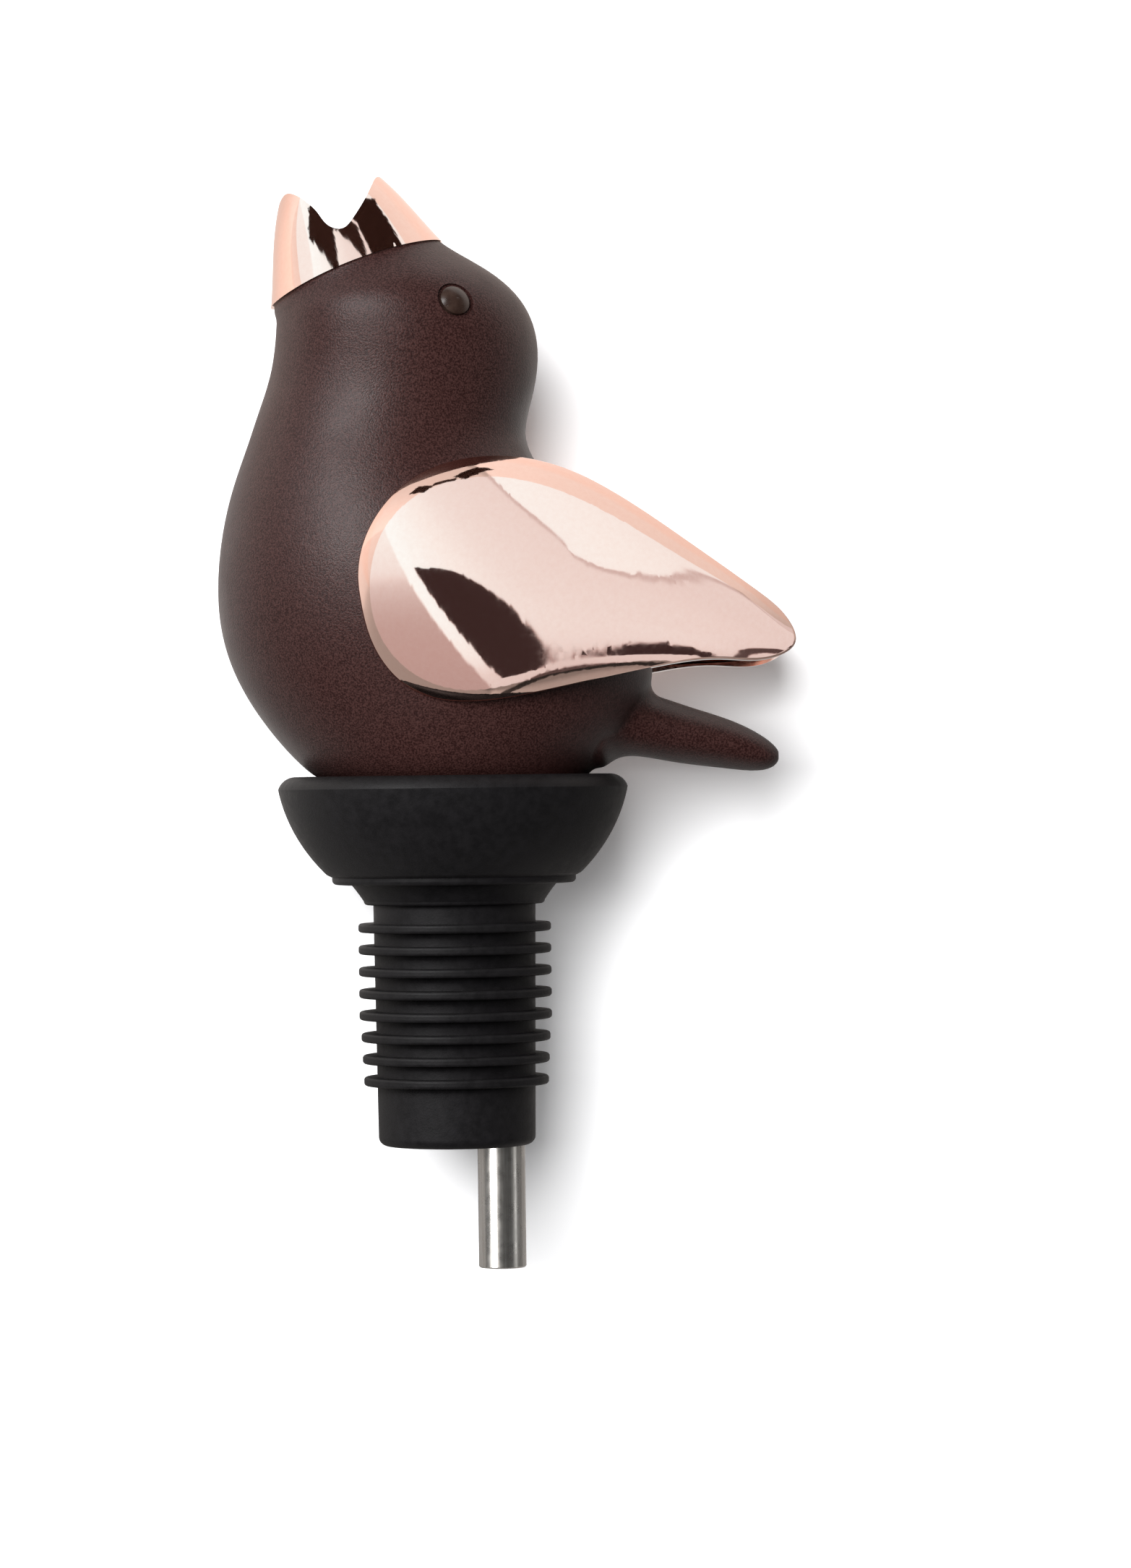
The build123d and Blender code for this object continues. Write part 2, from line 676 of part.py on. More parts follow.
with BuildPart() as base_screws:
    head_z = SKIRT_Z + SCREW_HEAD_DEPTH
    with BuildSketch(Plane.XY.offset(head_z)):
        with Locations(*SCREW_SPOTS):
            Circle(SCREW_HEAD_R)
    extrude(amount=SCREW_HEAD_SUNK - SCREW_HEAD_DEPTH)
    with BuildSketch(Plane.XY.offset(head_z)):
        with Locations(*SCREW_SPOTS):
            Circle(SCREW_R)
    extrude(amount=SCREW_TOP_Z - head_z)
    # cross recess
    with BuildSketch(Plane.XY.offset(SKIRT_Z + SCREW_HEAD_SUNK)):
        with Locations(*SCREW_SPOTS):
            Rectangle(SCREW_SLOT_LENGTH, SCREW_SLOT_WIDTH)
            Rectangle(SCREW_SLOT_WIDTH, SCREW_SLOT_LENGTH)
    extrude(amount=SCREW_SLOT_DEPTH, mode=Mode.SUBTRACT)
finish("base_screws", base_screws.part)

with BuildPart() as vent_tube:
    with BuildSketch(Plane.XY.offset(TUBE_FOOT_Z)):
        with Locations((TUBE_X, 0)):
            Circle(TUBE_R)
            Circle(TUBE_BORE_R, mode=Mode.SUBTRACT)
    extrude(amount=TUBE_TOP_Z - TUBE_FOOT_Z)
    chamfer(vent_tube.edges().group_by(Axis.Z)[0].sort_by(SortBy.LENGTH)[-1], TUBE_CHAMFER)
finish("vent_tube", vent_tube.part)

# ---------------------------------------------------------------- whistle on the vent tube

with BuildPart() as whistle_grommet:
    with BuildSketch(Plane.XY.offset(WHISTLE_Z)):
        with Locations((TUBE_X, 0)):
            Circle(TUBE_R + GROMMET_WALL)
            Circle(TUBE_R, mode=Mode.SUBTRACT)
    extrude(amount=GROMMET_TOP_Z - WHISTLE_Z)
    with BuildSketch(Plane.XY.offset(WHISTLE_Z)):
        with Locations((TUBE_X, 0)):
            Circle(WHISTLE_R)
            Circle(TUBE_R, mode=Mode.SUBTRACT)
    extrude(amount=-GROMMET_FLANGE)
finish("whistle_grommet", whistle_grommet.part)

with BuildPart() as whistle_body:
    with BuildSketch(Plane.XY.offset(WHISTLE_Z)):
        with Locations((TUBE_X, 0)):
            Circle(WHISTLE_R)
    extrude(amount=WHISTLE_TOP_Z - WHISTLE_Z)
    with BuildSketch(Plane.XY.offset(WHISTLE_Z)):
        with Locations((TUBE_X, 0)):
            Circle(TUBE_R + GROMMET_WALL)
    extrude(amount=GROMMET_TOP_Z - WHISTLE_Z, mode=Mode.SUBTRACT)
    with BuildSketch(Plane.XY.offset(CHAMBER_Z)):
        with Locations((TUBE_X, 0)):
            Circle(CHAMBER_R)
    extrude(amount=WHISTLE_TOP_Z - CHAMBER_Z, mode=Mode.SUBTRACT)
    with BuildSketch(Plane.XY.offset(WHISTLE_Z)):
        with Locations((TUBE_X, 0)):
            Circle(WHISTLE_HOLE_R)
    extrude(amount=CHAMBER_Z - WHISTLE_Z, mode=Mode.SUBTRACT)
finish("whistle_body", whistle_body.part)

with BuildPart() as whistle_cap:
    with BuildSketch(Plane.XY.offset(WHISTLE_TOP_Z)):
        with Locations((TUBE_X, 0)):
            Circle(WHISTLE_R)
    extrude(amount=CAP_THICK)
    with BuildSketch(Plane.XY.offset(WHISTLE_TOP_Z)):
        with Locations((TUBE_X, 0)):
            Circle(CHAMBER_R)
    extrude(amount=-CAP_PLUG)
    with BuildSketch(Plane.XY.offset(WHISTLE_TOP_Z - CAP_PLUG)):
        with Locations((TUBE_X, 0)):
            Circle(WHISTLE_HOLE_R)
    extrude(amount=CAP_PLUG + CAP_THICK, mode=Mode.SUBTRACT)
finish("whistle_cap", whistle_cap.part)
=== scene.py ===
import json
import math
import bmesh
import bpy
from mathutils import Matrix, Vector


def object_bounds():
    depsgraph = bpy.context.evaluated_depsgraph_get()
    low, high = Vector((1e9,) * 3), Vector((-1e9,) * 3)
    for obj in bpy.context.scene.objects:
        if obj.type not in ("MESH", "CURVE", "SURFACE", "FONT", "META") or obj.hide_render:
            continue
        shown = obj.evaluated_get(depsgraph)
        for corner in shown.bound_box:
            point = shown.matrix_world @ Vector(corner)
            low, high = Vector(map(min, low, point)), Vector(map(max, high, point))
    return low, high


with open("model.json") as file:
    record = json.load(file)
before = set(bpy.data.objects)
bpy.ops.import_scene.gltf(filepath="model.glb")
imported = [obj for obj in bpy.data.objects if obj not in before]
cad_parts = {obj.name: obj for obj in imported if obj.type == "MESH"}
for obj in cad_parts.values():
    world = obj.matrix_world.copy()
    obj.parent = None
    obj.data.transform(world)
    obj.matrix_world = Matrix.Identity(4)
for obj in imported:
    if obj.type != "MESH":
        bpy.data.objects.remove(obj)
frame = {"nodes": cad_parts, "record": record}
cad_low, cad_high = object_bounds()
nodes = frame["nodes"]

MM = 0.001


# ------------------------------------------------------------------ camera, floor and light

VIEW_X, VIEW_Z = 12.56 * MM, 15.77 * MM
VIEW_DISTANCE = 580 * MM
VIEW_HEIGHT = 174.9 * MM
VIEW_ROLL = math.radians(0.71)
SENSOR = 36.0

SHEET_HALF_SIZE = 3.0
SHEET_GAP = 0.5 * MM
# painted light: the sheet's glow near the spout, which lightens its shadows, and what is added
# far from it, where the lights fall off
SHEET_GLOW = 0.08
FAR_GLOW = 0.85
FAR_FROM, FAR_SOFT = 0.60, 0.35
# strength of the surround on matt surfaces
SURROUND = 0.22

# heights between which the sheet's painted reflection is warmest, and how deep its painted shade
# is
BEAK_FROM, BEAK_TO = 0.065, 0.12
SHADE_DEPTH = 0.6

TENT_RADIUS = 2.5
# the slanted bands of the tent: one step of lean to the right counts as this many steps up
TENT_SLANT = 1.7
TENT_WAVE = 0.008
# softness of the tent's sharp edges and of its soft ones
EDGE_SHARP, EDGE_SOFT = 0.008, 0.02
OPENING_LIGHT = 0.035
TABLE_EDGE_LIGHT = 0.08
GROUND_LIGHT = 0.12
# the brightest tent level on the colour ramp, and the share of light that the ramp's colours hold
RAMP_TOP = 1.5
RAMP_SHARE = 0.5


def make_camera():
    """The camera looks along +Y at the spout's left side, square on, slightly rolled."""
    data = bpy.data.cameras.new("camera")
    data.sensor_width = SENSOR
    data.lens = SENSOR * VIEW_DISTANCE / VIEW_HEIGHT
    data.clip_start = 0.05
    data.clip_end = 20
    camera = bpy.data.objects.new("camera", data)
    bpy.context.scene.collection.objects.link(camera)
    forward = Vector((0, 1, 0))
    up = Vector((math.sin(VIEW_ROLL), 0, math.cos(VIEW_ROLL)))
    right = forward.cross(up)
    turn = Matrix((right, up, -forward)).transposed().to_4x4()
    camera.matrix_world = Matrix.Translation((VIEW_X, -VIEW_DISTANCE, VIEW_Z)) @ turn
    bpy.context.scene.camera = camera


def link(nodes_from, nodes_to):
    """Short form for a node link: (node, output) to (node, input)."""
    node, name = nodes_from
    target, socket = nodes_to
    node.id_data.links.new(node.outputs[name], target.inputs[socket])


def mix_shaders(tree, share, first, second):
    """The first shader where share is 0, the second where it is 1."""
    mix = tree.nodes.new("ShaderNodeMixShader")
    tree.links.new(share, mix.inputs["Fac"])
    tree.links.new(first, mix.inputs[1])
    tree.links.new(second, mix.inputs[2])
    return mix.outputs["Shader"]


def sheet_finish():
    """White paper with a painted glow. Mirrors see a painted, warmer light in it, and from behind
    it is clear.
    """
    material, tree, shader, _ = new_material("floor")
    shader.inputs["Base Color"].default_value = (0.97, 0.97, 0.98, 1)
    shader.inputs["Roughness"].default_value = 0.9
    shader.inputs["Specular IOR Level"].default_value = 0.1
    shader.inputs["Emission Color"].default_value = (1, 1, 1, 1)
    geometry = tree.nodes.new("ShaderNodeNewGeometry")
    distance = Term(tree, vector_math(tree, "LENGTH", geometry.outputs["Position"]))
    # painted light: emission that lifts the sheet's shadows and its far, dim parts
    glow = distance.rise(FAR_FROM, FAR_SOFT) * FAR_GLOW + SHEET_GLOW
    tree.links.new(glow.socket, shader.inputs["Emission Strength"])
    path = tree.nodes.new("ShaderNodeLightPath")
    front = mix_shaders(
        tree, path.outputs["Is Glossy Ray"], shader.outputs["BSDF"], sheet_in_mirror(tree)
    )
    clear = tree.nodes.new("ShaderNodeBsdfTransparent").outputs["BSDF"]
    both = mix_shaders(tree, geometry.outputs["Backfacing"], front, clear)
    tree.links.new(both, tree.nodes["Material Output"].inputs["Surface"])
    material.cycles.emission_sampling = "NONE"
    return material


def make_floor():
    """The white sheet that the spout lies on, just behind its far wing."""
    reach = SHEET_HALF_SIZE
    y = cad_high.y + SHEET_GAP
    mesh = bpy.data.meshes.new("floor")
    corners = [(-reach, y, -reach), (reach, y, -reach), (reach, y, reach), (-reach, y, reach)]
    mesh.from_pydata(corners, [], [(0, 1, 2, 3)])
    mesh.materials.append(sheet_finish())
    floor = bpy.data.objects.new("floor", mesh)
    bpy.context.scene.collection.objects.link(floor)
    return floor


def area_light(name, place, aim, size, power):
    """A white soft box at a place, aimed at a point, hidden from the camera itself."""
    data = bpy.data.lights.new(name, "AREA")
    data.shape = "RECTANGLE"
    data.size, data.size_y = size
    data.energy = power
    light = bpy.data.objects.new(name, data)
    bpy.context.scene.collection.objects.link(light)
    light.location = place
    light.rotation_mode = "QUATERNION"
    light.rotation_quaternion = (Vector(aim) - Vector(place)).to_track_quat("-Z", "Y")
    light.visible_camera = False
    return light


# name, place and size in metres, power in watts
SOFT_BOXES = (
    ("front", (-0.18, -0.92, 0.24), (0.46, 0.46), 16.5),
    ("side", (-0.54, -0.74, 0.52), (0.52, 0.50), 8),
    ("strip", (-0.58, -0.70, 0.0), (0.40, 0.60), 6.5),
    ("edge", (0.80, -0.30, 0.0), (0.20, 0.60), 0.5),
)


def make_lights():
    """The soft boxes by name, all aimed at the middle of the spout."""
    middle = (cad_low + cad_high) / 2
    lights = {}
    for name, place, size, power in SOFT_BOXES:
        lights[name] = area_light(name, place, middle, size, power)
    return lights


class Term:
    """A shader value that adds, subtracts and multiplies like a number."""

    def __init__(self, tree, socket):
        self.tree = tree
        self.socket = socket

    def math(self, kind, *others):
        node = self.tree.nodes.new("ShaderNodeMath")
        node.operation = kind
        for slot, value in enumerate((self, *others)):
            if isinstance(value, Term):
                self.tree.links.new(value.socket, node.inputs[slot])
            else:
                node.inputs[slot].default_value = value
        return Term(self.tree, node.outputs[0])

    def __add__(self, other):
        return self.math("ADD", other)

    def __sub__(self, other):
        return self.math("SUBTRACT", other)

    def __mul__(self, other):
        return self.math("MULTIPLY", other)

    def rise(self, at, soft=0.012):
        """0 below a level and 1 above it, with a soft edge."""
        node = self.tree.nodes.new("ShaderNodeMapRange")
        node.interpolation_type = "SMOOTHSTEP"
        self.tree.links.new(self.socket, node.inputs["Value"])
        node.inputs["From Min"].default_value = at - soft
        node.inputs["From Max"].default_value = at + soft
        return Term(self.tree, node.outputs[0])

    def fall(self, at, soft=0.012):
        """1 below a level and 0 above it."""
        return self.rise(at, soft) * -1 + 1

    def curve(self, *points):
        """A smooth curve through (input, output) points, for inputs and outputs from -2 to 2."""
        node = self.tree.nodes.new("ShaderNodeFloatCurve")
        line = node.mapping.curves[0]
        places = [((x + 2) / 4, (y + 2) / 4) for x, y in points]
        for place in places[1:-1]:
            line.points.new(*place)
        line.points[0].location = places[0]
        line.points[-1].location = places[-1]
        node.mapping.update()
        inside = self * 0.25 + 0.5
        self.tree.links.new(inside.socket, node.inputs["Value"])
        return Term(self.tree, node.outputs[0]) * 4 - 2

    def blend(self, other, share):
        """This value where share is 0, the other where it is 1."""
        return self + (self * -1 + other) * share


def vector_math(tree, kind, a, b=None):
    """One vector operation on a socket, with a plain vector where it takes two."""
    node = tree.nodes.new("ShaderNodeVectorMath")
    node.operation = kind
    tree.links.new(a, node.inputs[0])
    if b is not None:
        node.inputs[1].default_value = b
    return node.outputs["Value" if kind == "LENGTH" else "Vector"]


def tent_lean(tree):
    """Each direction in the tent as the lean of the mirror that shows it from the front.

    lean_x is to the right and lean_z up, both 0 for a mirror that faces -Y. A slight wave keeps
    the tent's edges from being ruled lines.
    """
    place = tree.nodes.new("ShaderNodeNewGeometry").outputs["Position"]
    direction = vector_math(tree, "NORMALIZE", place)
    half = vector_math(tree, "NORMALIZE", vector_math(tree, "SUBTRACT", direction, (0, 1, 0)))
    split = tree.nodes.new("ShaderNodeSeparateXYZ")
    tree.links.new(half, split.inputs[0])
    wave = Term(tree, noise(tree, half, 8, 3)) * TENT_WAVE - TENT_WAVE / 2
    return Term(tree, split.outputs[0]) + wave, Term(tree, split.outputs[2]) - wave


def tent_walls(lean_z, across):
    """The tent's cloth: white at the upper left, dimmer to the right and lower down."""
    level = across.curve((-2, 1.45), (-0.6, 1.42), (-0.3, 1.28), (0, 1.1), (0.2, 1.0), (2, 0.93))
    return level * lean_z.curve(
        (-2, 0.6), (-0.66, 0.6), (-0.45, 0.82), (-0.2, 0.96), (0, 1), (2, 1),
    )


def left_wall(lean_z):
    """The wall at the far left, dim low down."""
    return lean_z.curve((-2, 0.46), (-0.4, 0.47), (-0.2, 0.52), (0, 0.74), (0.15, 1.1), (2, 1.2))


def box_edge(lean_x):
    """Where the overhead soft box begins: the lean_z of its lower edge."""
    return lean_x.curve(
        (-2, 1.2), (-0.3, 0.95), (-0.04, 0.77), (0.08, 0.54), (0.18, 0.34), (0.24, 0.15),
        (0.32, 0.21), (0.41, 0.37), (0.5, 0.5), (0.56, 0.44), (0.61, 0.2), (0.66, -0.1), (2, -1),
    )


def box_light(lean_x):
    """The overhead soft box, dimmer to the right."""
    return lean_x.curve(
        (-2, 1.3), (0, 1.3), (0.3, 1.2), (0.48, 1.1), (0.57, 0.87), (0.64, 0.68), (2, 0.6),
    )


def opening_edge(lean_z):
    """The right edge of the dark opening in front, as a place across the tent."""
    return lean_z.curve(
        (-2, -1), (-0.66, -0.62), (-0.61, -0.3), (-0.5, -0.2), (-0.34, -0.1), (-0.12, -0.03),
        (0.02, -0.08), (0.1, -0.2), (0.15, -0.62), (2, -1),
    )


def table_edge(lean_x):
    """The upper edge of the thin dark line low down, where the table ends."""
    return lean_x.curve(
        (-2, -0.85), (0, -0.8), (0.15, -0.72), (0.22, -0.6), (0.3, -0.42), (0.5, -0.3), (2, -0.3),
    )


def tent_level(tree):
    """How bright the light tent is in each direction."""
    lean_x, lean_z = tent_lean(tree)
    across = lean_z + lean_x * TENT_SLANT
    level = tent_walls(lean_z, across)
    level = level.blend(left_wall(lean_z), across.fall(-0.60, EDGE_SOFT))
    above = lean_z - box_edge(lean_x)
    gap = above.rise(-0.04, EDGE_SOFT) * above.fall(-0.004, EDGE_SHARP)
    level = level * (gap * -0.3 + 1)
    level = level.blend(box_light(lean_x), above.rise(0, EDGE_SHARP))
    opening = across.rise(-0.47, EDGE_SHARP) * (across - opening_edge(lean_z)).fall(0, EDGE_SHARP)
    level = level.blend(OPENING_LIGHT, opening)
    under = lean_z - table_edge(lean_x)
    level = level.blend(TABLE_EDGE_LIGHT, under.fall(0, 0.01) * under.rise(-0.09, 0.01))
    return level.blend(GROUND_LIGHT, lean_z.fall(-0.88, EDGE_SOFT))


def tent_colour(tree):
    """A share of the tent's light: cool white where it is bright, warmer where it is dim."""
    ramp = tree.nodes.new("ShaderNodeValToRGB")
    steps = (
        (0.0, (0.0, 0.0, 0.0)), (0.035, (0.045, 0.029, 0.030)), (0.465, (0.55, 0.465, 0.47)),
        (0.93, (0.875, 0.93, 0.975)), (1.2, (1.0, 1.21, 1.29)), (1.45, (1.04, 1.40, 1.54)),
    )
    elements = ramp.color_ramp.elements
    while len(elements) < len(steps):
        elements.new(0.5)
    for element, (place, colour) in zip(elements, steps):
        element.position = place / RAMP_TOP
        element.color = (*[part * RAMP_SHARE for part in colour], 1)
    tree.links.new((tent_level(tree) * (1 / RAMP_TOP)).socket, ramp.inputs["Fac"])
    return ramp.outputs["Color"]


def sheet_in_mirror(tree):
    """The sheet's painted reflection, as a mirror sees it: as bright as the tent, but warm, and
    warmest by the beak.

    Painted shade dims the lower right of the sheet.
    """
    place = tree.nodes.new("ShaderNodeNewGeometry").outputs["Position"]
    split = tree.nodes.new("ShaderNodeSeparateXYZ")
    tree.links.new(place, split.inputs[0])
    along = Term(tree, split.outputs[0])
    height = Term(tree, split.outputs[2])
    # painted shade: the sheet's light in mirrors is dimmed at its lower right
    shade = along.rise(0.05, 0.05) * height.fall(0.03, 0.04)
    by_beak = height.rise(BEAK_FROM, 0.01) * height.fall(BEAK_TO, 0.02)
    emission = tree.nodes.new("ShaderNodeEmission")
    tone = two_tone(tree, by_beak.socket, (0.80, 0.755, 0.725), (0.83, 0.71, 0.65), 0, 1)
    tree.links.new(tone, emission.inputs["Color"])
    strength = tent_level(tree) * (shade * -SHADE_DEPTH + 1)
    tree.links.new(strength.socket, emission.inputs["Strength"])
    return emission.outputs["Emission"]


def only_in_mirrors(thing):
    """Hide a stage object from every kind of ray except glossy ones."""
    for kind in ("camera", "diffuse", "transmission", "volume_scatter", "shadow"):
        setattr(thing, "visible_" + kind, False)


def make_tent():
    """A large light tent that only the polished metal reflects."""
    material = bpy.data.materials.new("tent")
    material.use_nodes = True
    tree = material.node_tree
    tree.nodes.clear()
    output = tree.nodes.new("ShaderNodeOutputMaterial")
    emission = tree.nodes.new("ShaderNodeEmission")
    emission.inputs["Strength"].default_value = 1 / RAMP_SHARE
    tree.links.new(tent_colour(tree), emission.inputs["Color"])
    link((emission, "Emission"), (output, "Surface"))
    material.cycles.emission_sampling = "NONE"
    shape = bmesh.new()
    bmesh.ops.create_icosphere(shape, subdivisions=4, radius=TENT_RADIUS)
    mesh = bpy.data.meshes.new("tent")
    shape.to_mesh(mesh)
    shape.free()
    mesh.materials.append(material)
    tent = bpy.data.objects.new("tent", mesh)
    bpy.context.scene.collection.objects.link(tent)
    only_in_mirrors(tent)
    return tent


def make_world():
    """A plain white surround: full for the camera, faint on the matt surfaces."""
    world = bpy.data.worlds.new("surround")
    bpy.context.scene.world = world
    world.use_nodes = True
    world.cycles.sampling_method = "NONE"
    tree = world.node_tree
    background = tree.nodes["Background"]
    background.inputs["Color"].default_value = (1, 1, 1, 1)
    path = tree.nodes.new("ShaderNodeLightPath")
    seen = Term(tree, path.outputs["Is Camera Ray"])
    matt = Term(tree, path.outputs["Is Diffuse Ray"])
    tree.links.new((seen + matt * SURROUND).socket, background.inputs["Strength"])


def torn_card():
    """A matt dark card, cut away by noise round its edges so that they look torn."""
    material, tree, shader, coords = new_material("dark_card")
    shader.inputs["Base Color"].default_value = (0.03, 0.016, 0.013, 1)
    shader.inputs["Roughness"].default_value = 1.0
    shader.inputs["Specular IOR Level"].default_value = 0.0
    tear = noise(tree, coords.outputs["Object"], 5, 3, 0.6)
    split = tree.nodes.new("ShaderNodeSeparateXYZ")
    link((coords, "Object"), (split, "Vector"))
    wave = Term(tree, tear) * 0.3 - 0.15
    wide = Term(tree, split.outputs[0]).math("ABSOLUTE") + wave
    tall = Term(tree, split.outputs[1]).math("ABSOLUTE") + wave
    # the card's mesh reaches 0.5 each way
    gone = wide.math("MAXIMUM", tall).rise(0.44, 0.02)
    clear = tree.nodes.new("ShaderNodeBsdfTransparent").outputs["BSDF"]
    torn = mix_shaders(tree, gone.socket, shader.outputs["BSDF"], clear)
    tree.links.new(torn, tree.nodes["Material Output"].inputs["Surface"])
    return material


# name, point on the beak, the way from there to the card, distance and size, in millimetres
CARDS = (
    ("card_left", (-14.05, -7.2, 78.3), (-0.62, -0.54, 0.56), 16, (13, 9)),
    ("card_middle", (-11.3, -8.0, 78.8), (-0.16, -0.67, 0.73), 16, (13, 5)),
    ("card_right", (-8.0, -7.6, 78.3), (0.36, -0.37, 0.85), 16, (17, 11)),
)


def make_cards():
    """Small dark cards above the beak, seen only in the polished metal."""
    dark = torn_card()
    for name, point, way, distance, size in CARDS:
        shape = bmesh.new()
        bmesh.ops.create_grid(shape, x_segments=1, y_segments=1, size=0.5)
        mesh = bpy.data.meshes.new(name)
        shape.to_mesh(mesh)
        shape.free()
        mesh.materials.append(dark)
        card = bpy.data.objects.new(name, mesh)
        bpy.context.scene.collection.objects.link(card)
        card.location = (Vector(point) + Vector(way).normalized() * distance) * MM
        card.rotation_mode = "QUATERNION"
        card.rotation_quaternion = Vector(way).to_track_quat("Z", "Y")
        card.scale = (size[0] * MM, size[1] * MM, 1)
        only_in_mirrors(card)


def collect(name, objects):
    """A collection that light linking can refer to."""
    group = bpy.data.collections.new(name)
    for item in objects:
        group.objects.link(item)
    return group


# ------------------------------------------------------------------ materials

def new_material(name):
    """A material with a Principled shader: (material, tree, shader, object coordinates)."""
    material = bpy.data.materials.new(name)
    material.use_nodes = True
    tree = material.node_tree
    coords = tree.nodes.new("ShaderNodeTexCoord")
    return material, tree, tree.nodes["Principled BSDF"], coords


def noise(tree, vector, scale, detail, rough=0.5):
    """A noise value of about 0.3 to 0.7."""
    node = tree.nodes.new("ShaderNodeTexNoise")
    node.inputs["Scale"].default_value = scale
    node.inputs["Detail"].default_value = detail
    node.inputs["Roughness"].default_value = rough
    tree.links.new(vector, node.inputs["Vector"])
    return node.outputs["Fac"]


def spread(tree, value, low, high, to_low, to_high):
    """The value mapped from one range to another."""
    node = tree.nodes.new("ShaderNodeMapRange")
    tree.links.new(value, node.inputs["Value"])
    for socket, number in (
        ("From Min", low), ("From Max", high), ("To Min", to_low), ("To Max", to_high),
    ):
        node.inputs[socket].default_value = number
    return node.outputs[0]


def two_tone(tree, value, dark, light, low=0.35, high=0.65):
    """A colour that goes from one tone to another as the value goes from low to high."""
    ramp = tree.nodes.new("ShaderNodeValToRGB")
    ramp.color_ramp.elements[0].position = low
    ramp.color_ramp.elements[0].color = (*dark, 1)
    ramp.color_ramp.elements[1].position = high
    ramp.color_ramp.elements[1].color = (*light, 1)
    tree.links.new(value, ramp.inputs["Fac"])
    return ramp.outputs["Color"]


def bump(tree, height, strength, distance):
    """A normal that follows the height value."""
    node = tree.nodes.new("ShaderNodeBump")
    node.inputs["Strength"].default_value = strength
    node.inputs["Distance"].default_value = distance
    tree.links.new(height, node.inputs["Height"])
    return node.outputs["Normal"]


def soft_touch():
    """Dark brown soft-touch coating with a fine eggshell grain."""
    material, tree, shader, coords = new_material("soft_touch_brown")
    place = coords.outputs["Object"]
    grain = noise(tree, place, 5200, 1, 0.5)
    cloud = noise(tree, place, 160, 2, 0.5)
    colour = two_tone(tree, grain, (0.0125, 0.0040, 0.0036), (0.036, 0.0150, 0.0134), 0.36, 0.66)
    tree.links.new(colour, shader.inputs["Base Color"])
    tree.links.new(spread(tree, cloud, 0.3, 0.7, 0.42, 0.50), shader.inputs["Roughness"])
    tree.links.new(bump(tree, grain, 0.5, 0.08 * MM), shader.inputs["Normal"])
    shader.inputs["Specular IOR Level"].default_value = 0.42
    return material


def eye_gloss():
    """The same brown, smooth and half glossy."""
    material, tree, shader, coords = new_material("eye_brown")
    cloud = noise(tree, coords.outputs["Object"], 900, 2, 0.5)
    colour = two_tone(tree, cloud, (0.016, 0.0085, 0.0065), (0.026, 0.0150, 0.0115))
    tree.links.new(colour, shader.inputs["Base Color"])
    tree.links.new(spread(tree, cloud, 0.3, 0.7, 0.26, 0.34), shader.inputs["Roughness"])
    tree.links.new(bump(tree, cloud, 0.1, 0.02 * MM), shader.inputs["Normal"])
    return material


def silicone():
    """Matt black silicone with a faint moulded mottle."""
    material, tree, shader, coords = new_material("black_silicone")
    place = coords.outputs["Object"]
    mottle = noise(tree, place, 900, 3, 0.6)
    fine = noise(tree, place, 4200, 3, 0.6)
    colour = two_tone(tree, mottle, (0.0042, 0.0039, 0.0043), (0.0065, 0.0060, 0.0066))
    tree.links.new(colour, shader.inputs["Base Color"])
    tree.links.new(spread(tree, mottle, 0.3, 0.7, 0.52, 0.62), shader.inputs["Roughness"])
    tree.links.new(bump(tree, fine, 0.5, 0.05 * MM), shader.inputs["Normal"])
    shader.inputs["Specular IOR Level"].default_value = 0.36
    return material


def rose_gold():
    """Mirror-bright copper-pink plating with a trace of orange peel."""
    material, tree, shader, coords = new_material("rose_gold_plating")
    place = coords.outputs["Object"]
    peel = noise(tree, place, 260, 1, 0.4)
    haze = noise(tree, place, 1800, 3, 0.6)
    colour = two_tone(tree, haze, (0.945, 0.655, 0.560), (0.965, 0.690, 0.595), 0.3, 0.7)
    tree.links.new(colour, shader.inputs["Base Color"])
    tree.links.new(spread(tree, haze, 0.3, 0.75, 0.035, 0.075), shader.inputs["Roughness"])
    tree.links.new(bump(tree, peel, 0.015, 0.05 * MM), shader.inputs["Normal"])
    shader.inputs["Metallic"].default_value = 1.0
    return material


def drawn_steel():
    """Satin drawn steel, with fine lines along the tube."""
    material, tree, shader, coords = new_material("drawn_steel")
    mapping = tree.nodes.new("ShaderNodeMapping")
    mapping.inputs["Scale"].default_value = (1, 1, 0.02)
    link((coords, "Object"), (mapping, "Vector"))
    lines = noise(tree, mapping.outputs["Vector"], 5200, 3, 0.6)
    marks = noise(tree, coords.outputs["Object"], 700, 3, 0.6)
    colour = two_tone(tree, lines, (0.50, 0.475, 0.44), (0.66, 0.64, 0.61))
    tree.links.new(colour, shader.inputs["Base Color"])
    tree.links.new(spread(tree, marks, 0.3, 0.7, 0.24, 0.36), shader.inputs["Roughness"])
    tree.links.new(bump(tree, lines, 0.12, 0.02 * MM), shader.inputs["Normal"])
    shader.inputs["Metallic"].default_value = 0.85
    return material


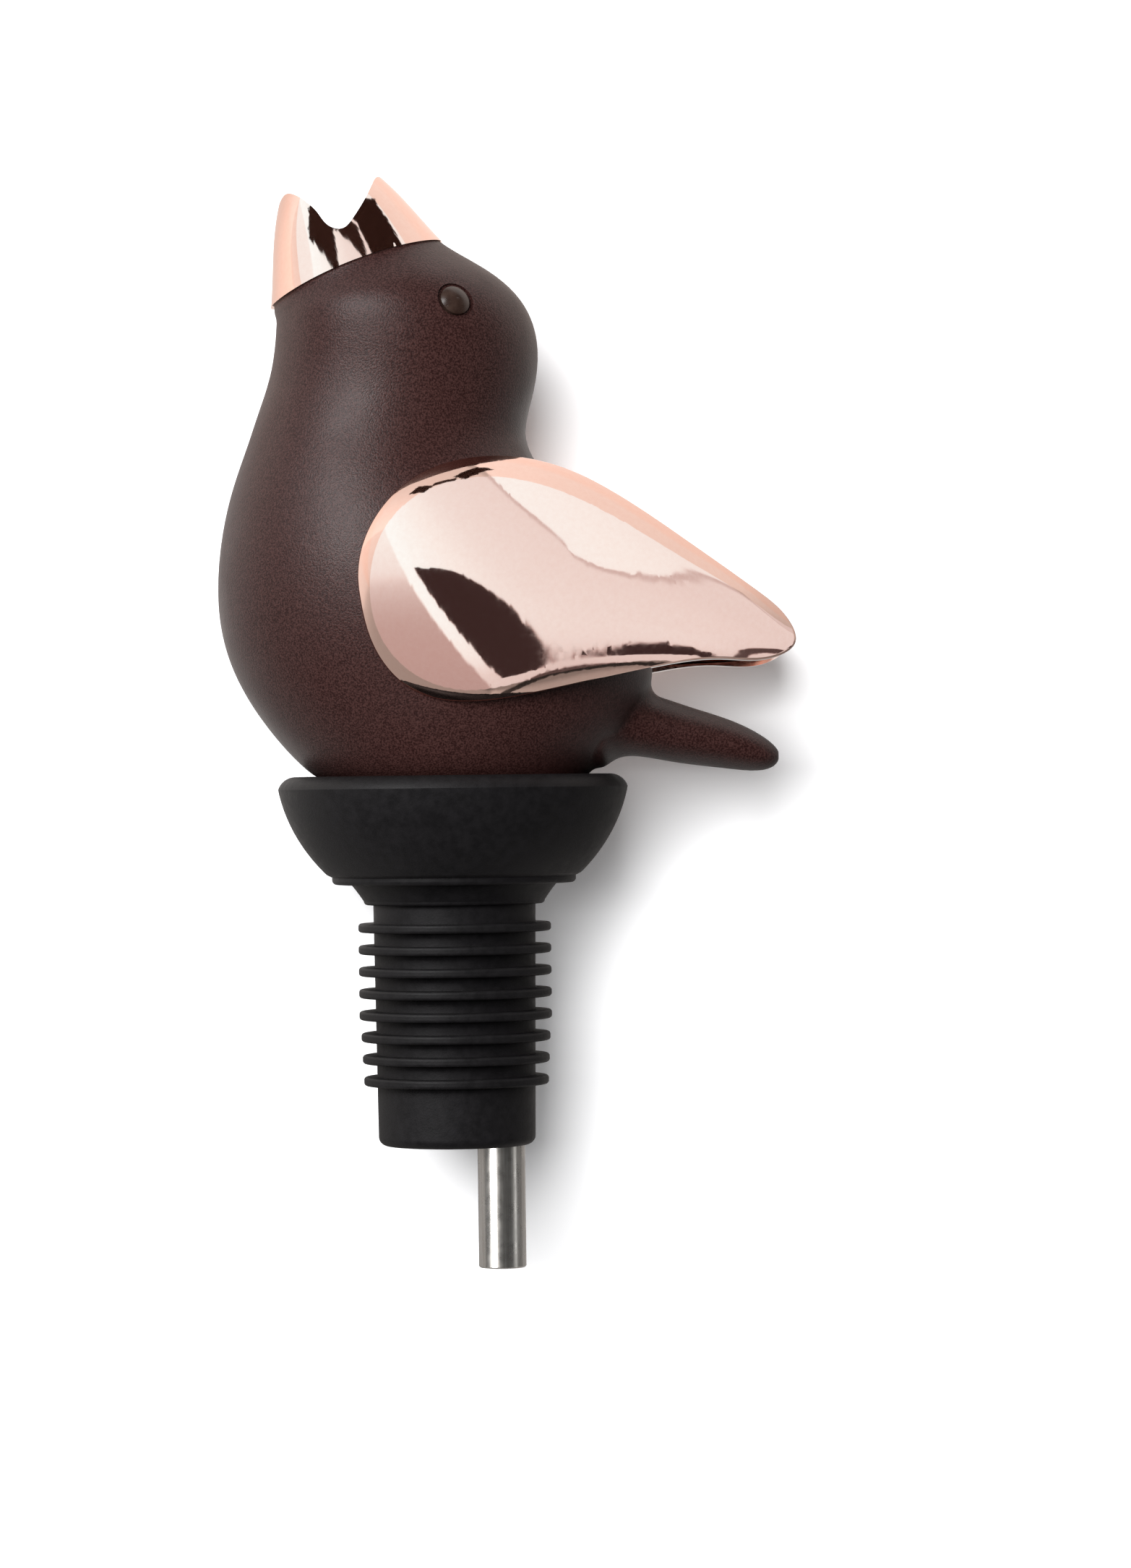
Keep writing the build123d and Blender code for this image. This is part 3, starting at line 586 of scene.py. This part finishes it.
def plain(name, dark, light, roughness, metallic=0.0):
    """Moulded or zinc-plated inner pieces: a light mottle and a fine bump."""
    material, tree, shader, coords = new_material(name)
    place = coords.outputs["Object"]
    mottle = noise(tree, place, 1300, 3, 0.6)
    tree.links.new(two_tone(tree, mottle, dark, light), shader.inputs["Base Color"])
    level = spread(tree, mottle, 0.3, 0.7, roughness - 0.06, roughness + 0.06)
    tree.links.new(level, shader.inputs["Roughness"])
    tree.links.new(bump(tree, mottle, 0.1, 0.02 * MM), shader.inputs["Normal"])
    shader.inputs["Metallic"].default_value = metallic
    return material


FINISHES = {
    "soft_touch": soft_touch(),
    "silicone": silicone(),
    "rose_gold": rose_gold(),
    "steel": drawn_steel(),
    "inner_plastic": plain("inner_plastic", (0.030, 0.020, 0.018), (0.044, 0.031, 0.028), 0.5),
    "seal_rubber": plain("seal_rubber", (0.020, 0.020, 0.021), (0.032, 0.031, 0.032), 0.7),
    "screw_steel": plain("screw_steel", (0.50, 0.50, 0.51), (0.62, 0.62, 0.63), 0.32, 1.0),
}


def dress_cad_nodes():
    """Every carried-over CAD node takes its slot's finish, smoothly shaded."""
    for subpart in frame["record"]["subparts"]:
        node = nodes[subpart["node"]]
        node.data.materials.clear()
        node.data.materials.append(FINISHES[subpart["material_slot"]])
        node.data.polygons.foreach_set("use_smooth", [True] * len(node.data.polygons))
    eye_finish = eye_gloss()
    for name in ("eye_left", "eye_right"):
        nodes[name].data.materials[0] = eye_finish


make_camera()
floor = make_floor()
make_world()
dress_cad_nodes()
slots = {subpart["node"]: subpart["material_slot"] for subpart in frame["record"]["subparts"]}
gold = [node for name, node in nodes.items() if slots.get(name) == "rose_gold"]
steel = [node for name, node in nodes.items() if slots.get(name) == "steel"]
matt = [node for name, node in nodes.items() if node not in gold + steel]
make_tent().light_linking.receiver_collection = collect("polished", gold)
make_cards()
lights = make_lights()
lights["front"].visible_glossy = False
tube = collect("tube", steel)
lights["front"].light_linking.receiver_collection = collect("matt", matt + [floor])
lights["side"].light_linking.receiver_collection = collect("coated", matt)
lights["strip"].light_linking.receiver_collection = tube
lights["edge"].light_linking.receiver_collection = tube
bpy.context.scene.view_settings.view_transform = "Standard"
